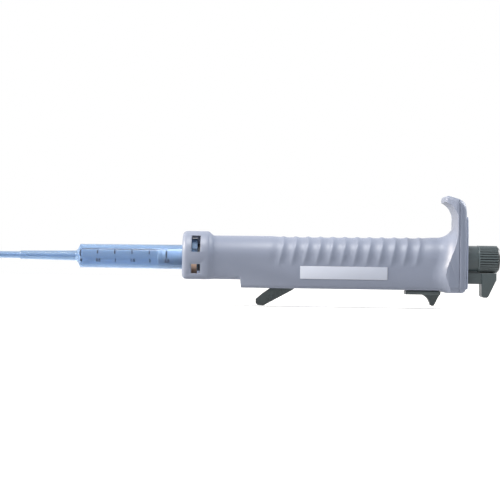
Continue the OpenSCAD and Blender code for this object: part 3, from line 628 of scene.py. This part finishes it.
# ---------------------------------------------------------------- operators
class PIPETTE_OT_stage(bpy.types.Operator):
    """Set up the camera, the floor and the soft studio light"""
    bl_idname = "pipette.stage"
    bl_label = "Stage"

    def execute(self, context):
        s = context.scene.pipette_stage
        low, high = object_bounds()
        middle = Vector(((low[0] + high[0]) / 2, 0, 0))
        camera_data = bpy.data.cameras.new("camera")
        camera_data.sensor_width = SENSOR_WIDTH
        camera_data.lens = SENSOR_WIDTH * s.distance / s.view_width
        camera = bpy.data.objects.new("camera", camera_data)
        context.scene.collection.objects.link(camera)
        camera.location = middle + Vector((0, -s.distance, s.eye_height))
        camera.rotation_euler = (QUARTER_TURN, -s.tilt, 0)
        context.scene.camera = camera
        self.floor(low, s.floor_glow)
        self.lamp("key_lamp", middle, s.key_power)
        self.lamp("side_lamp", middle + SIDE_LAMP_AIM, s.side_power, s.side_color)
        self.lamp("rear_lamp", middle, s.rear_power)
        self.world(context, s.world_strength)
        return {"FINISHED"}

    def floor(self, low, glow):
        """Pale paper that glows for the camera, mirrors as white and is clear from below."""
        deselect()
        bpy.ops.mesh.primitive_plane_add(size=FLOOR_SIZE,
                                         location=(FLOOR_MIDDLE, 0, low[2] - FLOOR_GAP))
        floor = bpy.context.object
        floor.name = "floor"
        made = new_material("floor_paper")
        floor.data.materials.append(made)
        tree, paper = made.node_tree, principled(made)
        paper.inputs["Base Color"].default_value = (FLOOR_GREY, FLOOR_GREY, FLOOR_GREY, 1)
        paper.inputs["Roughness"].default_value = 0.9
        ray = tree.nodes.new("ShaderNodeLightPath").outputs
        white = add_node(tree, "ShaderNodeEmission", {
            "Strength": maths(tree, "MULTIPLY", ray["Is Camera Ray"], glow)})
        glowing = add_node(tree, "ShaderNodeAddShader", {0: paper.outputs[0], 1: white.outputs[0]})
        mirrored = maths(tree, "MAXIMUM", ray["Is Glossy Ray"], ray["Is Transmission Ray"])
        above = shader_mix(tree, mirrored, glowing.outputs[0],
                           tree.nodes.new("ShaderNodeEmission").outputs[0])
        show(tree, shader_mix(tree, tree.nodes.new("ShaderNodeNewGeometry").outputs["Backfacing"],
                              above, tree.nodes.new("ShaderNodeBsdfTransparent").outputs[0]))
        floor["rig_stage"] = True

    def lamp(self, name, target, power, color=(1, 1, 1)):
        place, size = LAMPS[name]
        data = bpy.data.lights.new(name, "AREA")
        data.shape = "DISK"
        data.size = size
        data.energy = power
        data.color = color
        lamp = bpy.data.objects.new(name, data)
        lamp.location = place
        aim = target - Vector(place)
        lamp.rotation_euler = aim.to_track_quat("-Z", "Y").to_euler()
        bpy.context.scene.collection.objects.link(lamp)

    def world(self, context, strength):
        """White for the camera and in reflections, and a weaker light on the pipette."""
        world = bpy.data.worlds.new("studio")
        world.use_nodes = True
        context.scene.world = world
        tree = world.node_tree
        sky = tree.nodes["Background"]
        sky.inputs["Color"].default_value = (1, 1, 1, 1)
        sky.inputs["Strength"].default_value = strength
        white = add_node(tree, "ShaderNodeBackground", {"Color": (1, 1, 1, 1)})
        ray = tree.nodes.new("ShaderNodeLightPath").outputs
        mirrored = maths(tree, "MAXIMUM", ray["Is Glossy Ray"], ray["Is Transmission Ray"])
        seen = maths(tree, "MAXIMUM", ray["Is Camera Ray"], mirrored)
        show(tree, shader_mix(tree, seen, sky.outputs[0], white.outputs[0]), "World Output")


class PIPETTE_OT_syringe(bpy.types.Operator):
    """Dress the syringe: barrel, printed scale, piston seal and plunger rod"""
    bl_idname = "pipette.syringe"
    bl_label = "Syringe"

    def execute(self, context):
        s = context.scene.pipette_syringe
        barrel = refined_copy("syringe_barrel", "syringe_body", edge=BARREL_EDGE, corner=30)
        finish_piece(barrel, barrel_plastic(s.color), "syringe_barrel")
        seal = refined_copy("piston_seal", "piston_lip_seal", edge=BARREL_EDGE)
        finish_piece(seal, moulded("seal_white", SEAL_COLOR, rough=0.3),
                     "piston_seal")
        rod = refined_copy("plunger_rod", "plunger", edge=ROD_EDGE)
        finish_piece(rod, moulded("rod_white", ROD_COLOR, rough=0.4),
                     "plunger_rod")
        ink = moulded("scale_ink", s.ink, depth=0.02, mottle=0.5, rough=0.5)
        marks = [self.mark(s, i) for i in range(s.mark_count)] + [self.datum_line(s)]
        self.print_on(barrel, marks, "scale_marks", ink)
        numerals = [self.numeral(s, i) for i in range(s.mark_count)]
        self.print_on(barrel, numerals, "scale_numerals", ink)
        return {"FINISHED"}

    def strip(self, x0, x1, z0, z1, cuts):
        """A flat strip in front of the barrel, cut across so that it can follow a round face."""
        deselect()
        bpy.ops.mesh.primitive_plane_add(
            size=1, location=((x0 + x1) / 2, -PRINT_START, (z0 + z1) / 2),
            rotation=(QUARTER_TURN, 0, 0))
        piece = bpy.context.object
        piece.scale = (x1 - x0, z1 - z0, 1)
        bpy.ops.object.transform_apply(location=True, rotation=True, scale=True)
        bpy.ops.object.mode_set(mode="EDIT")
        bpy.ops.mesh.subdivide(number_cuts=cuts)
        bpy.ops.object.mode_set(mode="OBJECT")
        return piece

    def mark(self, s, i):
        x = s.first_mark + i * s.mark_pitch
        tall = i in (0, s.mark_count - 1)
        return self.strip(x - s.ink_width / 2, x + s.ink_width / 2,
                          s.mark_low - (s.mark_extra if tall else 0), s.mark_high,
                          MARK_CUTS)

    def datum_line(self, s):
        last = s.first_mark + (s.mark_count - 1) * s.mark_pitch
        return self.strip(s.first_mark, last, s.line_height, s.line_height + s.ink_width / 2,
                          DATUM_CUTS)

    def numeral(self, s, i):
        deselect()
        bpy.ops.object.text_add(location=(0, 0, 0))
        text = bpy.context.object
        text.data.body = f"{i / 2:g}"
        text.data.size = s.numeral_size
        text.data.offset = s.numeral_weight
        text.data.align_x, text.data.align_y = "CENTER", "CENTER"
        bpy.ops.object.convert(target="MESH")
        piece = bpy.context.object
        piece.location = (s.first_mark + i * s.mark_pitch + s.numeral_shift, -PRINT_START,
                          s.numeral_height)
        piece.rotation_euler = (QUARTER_TURN, 0, 0)
        bpy.ops.object.transform_apply(location=True, rotation=True, scale=True)
        bpy.ops.object.mode_set(mode="EDIT")
        low = s.numeral_height - s.numeral_size / 2
        for step in range(1, NUMERAL_SLICES):
            bpy.ops.mesh.select_all(action="SELECT")
            bpy.ops.mesh.bisect(
                plane_co=(0, 0, low + step * s.numeral_size / NUMERAL_SLICES),
                plane_no=(0, 0, 1))
        bpy.ops.object.mode_set(mode="OBJECT")
        return piece

    def print_on(self, barrel, flat_pieces, name, ink):
        """Join flat pieces, lay them on the barrel and give them the thickness of a print."""
        deselect()
        for piece in flat_pieces:
            piece.select_set(True)
        bpy.context.view_layer.objects.active = flat_pieces[0]
        bpy.ops.object.join()
        piece = bpy.context.object
        piece.name = piece.data.name = name
        add_modifier(piece, "SHRINKWRAP", target=barrel, wrap_method="PROJECT",
                     use_project_x=False, use_project_y=True, use_project_z=False,
                     use_negative_direction=True, use_positive_direction=True,
                     project_limit=PRINT_START, wrap_mode="ABOVE_SURFACE", offset=INK_OFFSET)
        add_modifier(piece, "SOLIDIFY", thickness=INK_OFFSET * INK_SHARE, offset=0)
        finish_piece(piece, ink, body=nodes["syringe_barrel"]["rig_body"])


class PIPETTE_OT_washer(bpy.types.Operator):
    """Put a near-black washer behind the syringe's flange, where the collar's windows show it; its
    black is painted shade for the shadowed gap behind the flange
    """
    bl_idname = "pipette.washer"
    bl_label = "Seat washer"

    def execute(self, context):
        s = context.scene.pipette_syringe
        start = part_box("syringe_barrel")[1][0] + WASHER_GAP
        deselect()
        bpy.ops.mesh.primitive_circle_add(
            vertices=WASHER_SIDES, radius=s.washer_bore, fill_type="NOTHING",
            location=(start, 0, 0), rotation=(0, QUARTER_TURN, 0))
        washer = bpy.context.object
        bpy.ops.object.transform_apply(location=True, rotation=True, scale=True)
        bpy.ops.object.mode_set(mode="EDIT")
        bpy.ops.mesh.select_all(action="SELECT")
        bpy.ops.mesh.extrude_edges_move()
        out = s.washer_radius / s.washer_bore
        bpy.ops.transform.resize(value=(1, out, out), center_override=(start, 0, 0))
        bpy.ops.mesh.select_all(action="SELECT")
        bpy.ops.mesh.normals_make_consistent(inside=False)
        bpy.ops.object.mode_set(mode="OBJECT")
        add_modifier(washer, "SOLIDIFY", thickness=s.washer_thickness, offset=0)
        washer.data.transform(Matrix.Translation((s.washer_thickness / 2, 0, 0)))
        add_modifier(washer, "BEVEL", width=s.washer_thickness / WASHER_ROUNDING, segments=3,
                     limit_method="ANGLE", angle_limit=math.radians(40))
        washer.name = washer.data.name = "seat_washer"
        smooth(washer)
        # The washer's near-black colour is painted shade for the shadowed gap behind the flange.
        finish_piece(washer, moulded("washer_painted_shade", WASHER_SHADE_COLOR, depth=0.3, rough=0.6),
                     body=nodes["syringe_barrel"]["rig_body"])
        return {"FINISHED"}


class PIPETTE_OT_housing(bpy.types.Operator):
    """Dress the housing: body moulding, rear cover, back plate and blank name plate"""
    bl_idname = "pipette.housing"
    bl_label = "Housing"

    def execute(self, context):
        s = context.scene.pipette_housing
        grey = moulded("housing_grey", s.color, rough=0.42, worn=s.rubbed_color)
        body = refined_copy("body_shell", "housing_shell", edge=s.edge, corner=62, merge=0.0002,
                            flat=0.1, cuts=HOUSING_CUTS)
        finish_piece(body, grey, "body_shell")
        cover = refined_copy("rear_cover", "housing_cover")
        self.open_seam(cover, s.seam)
        round_edges(cover, s.edge, corner=48)
        smooth(cover)
        finish_piece(cover, grey, "rear_cover")
        plate = refined_copy("back_plate", "rear_face_plate", edge=PLATE_EDGE, corner=50)
        lighter = [PLATE_TINT * c for c in s.color]
        finish_piece(plate, moulded("plate_grey", lighter, rough=0.5, worn=s.rubbed_color),
                     "back_plate")
        label = refined_copy("name_plate", "blank_label", edge=LABEL_EDGE)
        film = moulded("label_film", s.label_color, depth=0.03, rough=0.3, worn=LABEL_EDGE_COLOR,
                       wear=1)
        finish_piece(label, film, "name_plate")
        return {"FINISHED"}

    def open_seam(self, cover, seam):
        """Draw the front face's rim back, so that a dark groove shows between the mouldings."""
        front = min(vertex.co.x for vertex in cover.data.vertices)
        reach = front + SAME_PLACE
        rim = {tuple(vertex.co) for vertex in cover.data.vertices if vertex.co.x < reach}
        select_faces(cover, lambda face: face.center.x < reach)
        bpy.ops.object.mode_set(mode="EDIT")
        bpy.ops.mesh.inset(thickness=2 * seam, use_boundary=True)
        bpy.ops.object.mode_set(mode="OBJECT")
        select_vertices(cover, lambda co: tuple(co) in rim)
        bpy.ops.object.mode_set(mode="EDIT")
        bpy.ops.transform.translate(value=(seam, 0, 0))
        bpy.ops.object.mode_set(mode="OBJECT")


def dark_plastic(s):
    """The material that the moving dark parts share."""
    return bpy.data.materials.get("dark_grip") or moulded(
        "dark_grip", s.color, rough=0.3, worn=s.rubbed_color, wear=0.6)


def rib(radius, width):
    """One fine rib across Y with rounded ends, at the origin."""
    deselect()
    bpy.ops.mesh.primitive_cylinder_add(vertices=RIB_SIDES, radius=radius, depth=width,
                                        rotation=(QUARTER_TURN, 0, 0))
    piece = bpy.context.object
    bpy.ops.object.transform_apply(location=True, rotation=True, scale=True)
    add_modifier(piece, "BEVEL", width=radius * RIB_ROUNDING, segments=2, limit_method="ANGLE",
                 angle_limit=math.radians(60))
    return piece


def copies_at(piece, places, name):
    """Copies of a piece at (x, z) places, joined into one piece; the piece itself is removed."""
    made = []
    for x, z in places:
        copy = piece.copy()
        copy.data = piece.data.copy()
        copy.location = (x, 0, z)
        bpy.context.scene.collection.objects.link(copy)
        made.append(copy)
    bpy.data.objects.remove(piece)
    deselect()
    for copy in made:
        copy.select_set(True)
    bpy.context.view_layer.objects.active = made[0]
    bpy.ops.object.transform_apply(location=True, rotation=True, scale=True)
    bpy.ops.object.join()
    joined = bpy.context.object
    joined.name = joined.data.name = name
    smooth(joined, 50)
    return joined


def along(corners, pitch):
    """Places a pitch apart along a line through (x, z) corners."""
    places, start = [], 0.0
    for (x0, z0), (x1, z1) in zip(corners, corners[1:]):
        length = math.hypot(x1 - x0, z1 - z0)
        while start < length:
            places.append((x0 + (x1 - x0) * start / length, z0 + (z1 - z0) * start / length))
            start += pitch
        start -= length
    return places


class PIPETTE_OT_slide(bpy.types.Operator):
    """Dress the filling slide: its plate, its fin and the fine ribs on the fin"""
    bl_idname = "pipette.slide"
    bl_label = "Filling slide"

    def execute(self, context):
        s = context.scene.pipette_grips
        slide = refined_copy("filling_slide", "slide_grip")
        round_edges(slide, s.edge)
        smooth(slide)
        finish_piece(slide, dark_plastic(s), "filling_slide")
        inset = s.rib_radius * RIB_SINK
        front = [(x + inset, z + inset / 2) for x, z in FIN_FRONT]
        rear = [(x - inset, z + inset / 2) for x, z in FIN_REAR]
        ribs = copies_at(rib(s.rib_radius, FIN_WIDTH - 2 * s.edge),
                         along(front, s.rib_pitch) + along(rear, s.rib_pitch), "slide_ribs")
        finish_piece(ribs, dark_plastic(s), body=nodes["filling_slide"]["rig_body"])
        finish_piece(self.rails(s), dark_plastic(s),
                     body=nodes["filling_slide"]["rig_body"])
        return {"FINISHED"}

    def rails(self, s):
        """Two low rails on the plate, which keep it square to the housing."""
        low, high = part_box("filling_slide")
        made = []
        for side in (-1, 1):
            deselect()
            bpy.ops.mesh.primitive_cube_add(size=1, location=(
                (low[0] + high[0]) / 2, side * (high[1] - RAIL_INSET), PLATE_TOP))
            rail = bpy.context.object
            rail.scale = (high[0] - low[0] - RAIL_SHORTER, RAIL_WIDTH, 2 * s.rail_height)
            bpy.ops.object.transform_apply(location=True, rotation=True, scale=True)
            add_modifier(rail, "BEVEL", width=s.rail_height / 2, segments=2)
            made.append(rail)
        for rail in made:
            rail.select_set(True)
        bpy.ops.object.join()
        joined = bpy.context.object
        joined.name = joined.data.name = "slide_rails"
        smooth(joined)
        return joined


class PIPETTE_OT_trigger(bpy.types.Operator):
    """Dress the trigger with its tube and finger"""
    bl_idname = "pipette.trigger"
    bl_label = "Trigger"

    def execute(self, context):
        s = context.scene.pipette_grips
        trigger = refined_copy("trigger_block", "trigger_grip", edge=s.edge)
        finish_piece(trigger, dark_plastic(s), "trigger_block")
        return {"FINISHED"}


class PIPETTE_OT_dial(bpy.types.Operator):
    """Dress the dial: ribbed knob and spindle"""
    bl_idname = "pipette.dial"
    bl_label = "Dial"

    def execute(self, context):
        s = context.scene.pipette_grips
        knob = refined_copy("dial_knob", "knob", edge=s.edge / KNOB_ROUNDING, corner=25)
        finish_piece(knob, self.ribbed_plastic(s), "dial_knob")
        spindle = refined_copy("dial_spindle", "spindle", edge=SPINDLE_EDGE)
        finish_piece(spindle, moulded("spindle_blue", s.spindle_color, rough=0.3),
                     "dial_spindle")
        return {"FINISHED"}

    def ribbed_plastic(self, s):
        """The dark plastic with painted shade in the grooves between the knob's ribs."""
        made = moulded("ribbed_dark", s.rib_color, rough=0.3, worn=s.rubbed_color, wear=0.6)
        low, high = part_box("dial_knob")
        crest = (high[2] - low[2]) / 2
        tree, shader = made.node_tree, principled(made)
        # Painted shade: the knob's colour darkens from its ribs' crests towards its grooves'
        # floors, where shade falls.
        shade = add_node(tree, "ShaderNodeGroup", {}, node_tree=groove_shade_group())
        for key, value in (
                ("Shade color", GROOVE_SHADE_COLOR),
                ("Axis", (0, (low[1] + high[1]) / 2, (low[2] + high[2]) / 2)),
                ("Floor radius", crest - s.groove_shade_depth), ("Crest radius", crest)):
            shade.inputs[key].default_value = value
        tree.links.new(shader.inputs["Base Color"].links[0].from_socket, shade.inputs["Color"])
        tree.links.new(shade.outputs["Color"], shader.inputs["Base Color"])
        return made


class PIPETTE_OT_lever(bpy.types.Operator):
    """Dress the release lever with its ribbed grip pads"""
    bl_idname = "pipette.lever"
    bl_label = "Release lever"

    def execute(self, context):
        s = context.scene.pipette_grips
        lever = refined_copy("release_lever", "lever_grip", edge=s.edge)
        finish_piece(lever, dark_plastic(s), "release_lever")
        low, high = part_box("release_lever")
        pads = self.pads(s, high[1] - low[1])
        finish_piece(pads, dark_plastic(s), body=nodes["release_lever"]["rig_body"])
        return {"FINISHED"}

    def pads(self, s, width):
        """Upright ribs across the lever, which stand out of both sides above its teeth."""
        deselect()
        bpy.ops.mesh.primitive_cube_add(size=1)
        bar = bpy.context.object
        bar.scale = (s.rib_pitch * PAD_RIB_WIDTH, width + 2 * s.pad_height, PAD_RIB_HEIGHT)
        bpy.ops.object.transform_apply(location=True, rotation=True, scale=True)
        add_modifier(bar, "BEVEL", width=s.rib_radius * PAD_ROUNDING, segments=2,
                     limit_method="ANGLE", angle_limit=math.radians(60))
        (x0, z0), (x1, z1) = PAD_LINE
        count = round((x1 - x0) / (s.rib_pitch * PAD_RIB_PITCH))
        return copies_at(bar, [(x0 + (x1 - x0) * i / count, z0 + (z1 - z0) * i / count)
                               for i in range(count + 1)], "lever_ribs")


def coil(name, centre, radius, wire, start, length, turns):
    """A coil of wire with closed ends about X from start, round the line through centre."""
    steps = round(COIL_STEPS * turns)
    deselect()
    bpy.ops.mesh.primitive_circle_add(vertices=WIRE_SIDES, radius=wire, fill_type="NOTHING",
                                      location=(start + wire, centre[0] - radius, centre[1]))
    piece = bpy.context.object
    bpy.ops.object.transform_apply(location=True, rotation=True, scale=True)
    piece.location = (0, -centre[0], -centre[1])
    bpy.ops.object.transform_apply(location=True, rotation=True, scale=True)
    add_modifier(piece, "SCREW", axis="X", angle=2 * math.pi * turns,
                 screw_offset=length - 2 * wire, steps=steps, render_steps=steps,
                 use_merge_vertices=False)
    piece.location = (0, centre[0], centre[1])
    bpy.ops.object.transform_apply(location=True, rotation=True, scale=True)
    bpy.ops.object.mode_set(mode="EDIT")
    bpy.ops.mesh.select_all(action="SELECT")
    bpy.ops.mesh.fill_holes(sides=0)
    bpy.ops.mesh.normals_make_consistent(inside=False)
    bpy.ops.object.mode_set(mode="OBJECT")
    piece.name = piece.data.name = name
    smooth(piece, 60)
    return piece


class PIPETTE_OT_springs(bpy.types.Operator):
    """Wind the trigger's return spring from round wire"""
    bl_idname = "pipette.springs"
    bl_label = "Springs"

    def execute(self, context):
        s = context.scene.pipette_works
        wire = metal("spring_wire", WIRE_COLOR, rough=0.25)
        low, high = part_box("return_spring")
        middle = ((low[1] + high[1]) / 2, (low[2] + high[2]) / 2)
        outer = (high[1] - low[1]) / 2
        spring = coil("return_coil", middle, outer - s.return_wire, s.return_wire, low[0],
                      high[0] - low[0], s.return_turns)
        finish_piece(spring, wire, "return_spring")
        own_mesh(spring)
        return {"FINISHED"}


class PIPETTE_OT_works(bpy.types.Operator):
    """Give every inner piece its own metal or plastic"""
    bl_idname = "pipette.works"
    bl_label = "Works"

    def execute(self, context):
        steel = metal("steel", (0.58, 0.59, 0.61), rough=0.3)
        spring = metal("spring_steel", (0.5, 0.5, 0.52), rough=0.25)
        finishes = {
            steel: ("cover_screws", "frame_screws", "slide_screw", "rack", "drive_pawl",
                    "holding_pawl", "drive_pawl_pin", "holding_pawl_pin", "drum_pin",
                    "retaining_clip", "detent_ball", "lever_pin"),
            spring: ("drive_pawl_spring", "holding_pawl_spring", "detent_spring",
                     "lever_spring"),
            metal("bronze", (0.95, 0.68, 0.52), rough=0.55, bare=0.4): (
                "flange_clip", "spindle_bush"),
            metal("frame_alloy", (0.55, 0.56, 0.58), rough=0.45): ("guide_frame",),
            moulded("chuck_plastic", (0.2, 0.21, 0.23)): ("plunger_chuck",),
            moulded("drum_plastic", (0.6, 0.6, 0.56)): ("stroke_drum",),
        }
        for material, names in finishes.items():
            for name in names:
                paint_node(name, material)
        return {"FINISHED"}


class PIPETTE_PT_panel(bpy.types.Panel):
    """The steps that dress the pipette, in the order in which they are run"""
    bl_idname = "PIPETTE_PT_panel"
    bl_label = "Repeating Pipette"
    bl_space_type = "VIEW_3D"
    bl_region_type = "UI"
    bl_category = "Pipette"

    def draw(self, context):
        for group, operators in (
                (context.scene.pipette_stage, (PIPETTE_OT_stage,)),
                (context.scene.pipette_syringe, (PIPETTE_OT_syringe, PIPETTE_OT_washer)),
                (context.scene.pipette_housing, (PIPETTE_OT_housing,)),
                (context.scene.pipette_grips, (PIPETTE_OT_slide, PIPETTE_OT_trigger,
                                               PIPETTE_OT_dial, PIPETTE_OT_lever)),
                (context.scene.pipette_works, (PIPETTE_OT_springs, PIPETTE_OT_works))):
            box = self.layout.box()
            for key in group.bl_rna.properties.keys():
                if key not in ("rna_type", "name"):
                    box.prop(group, key)
            for operator in operators:
                box.operator(operator.bl_idname)


classes = (StageSettings, SyringeSettings, HousingSettings, GripSettings, WorksSettings,
           PIPETTE_OT_stage, PIPETTE_OT_syringe, PIPETTE_OT_washer, PIPETTE_OT_housing,
           PIPETTE_OT_slide, PIPETTE_OT_trigger, PIPETTE_OT_dial, PIPETTE_OT_lever,
           PIPETTE_OT_springs, PIPETTE_OT_works, PIPETTE_PT_panel)
groups = {"pipette_stage": StageSettings, "pipette_syringe": SyringeSettings,
          "pipette_housing": HousingSettings, "pipette_grips": GripSettings,
          "pipette_works": WorksSettings}


def register():
    for item in classes:
        bpy.utils.register_class(item)
    for name, group in groups.items():
        setattr(bpy.types.Scene, name, bpy.props.PointerProperty(type=group))


def unregister():
    for name in groups:
        delattr(bpy.types.Scene, name)
    for item in reversed(classes):
        bpy.utils.unregister_class(item)


def main():
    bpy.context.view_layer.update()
    register()
    bpy.context.scene.view_settings.view_transform = "Standard"
    for step in ("stage", "syringe", "washer", "housing", "slide", "trigger", "dial", "lever",
                 "springs", "works"):
        getattr(bpy.ops.pipette, step)()


if __name__ == "__main__":
    main()
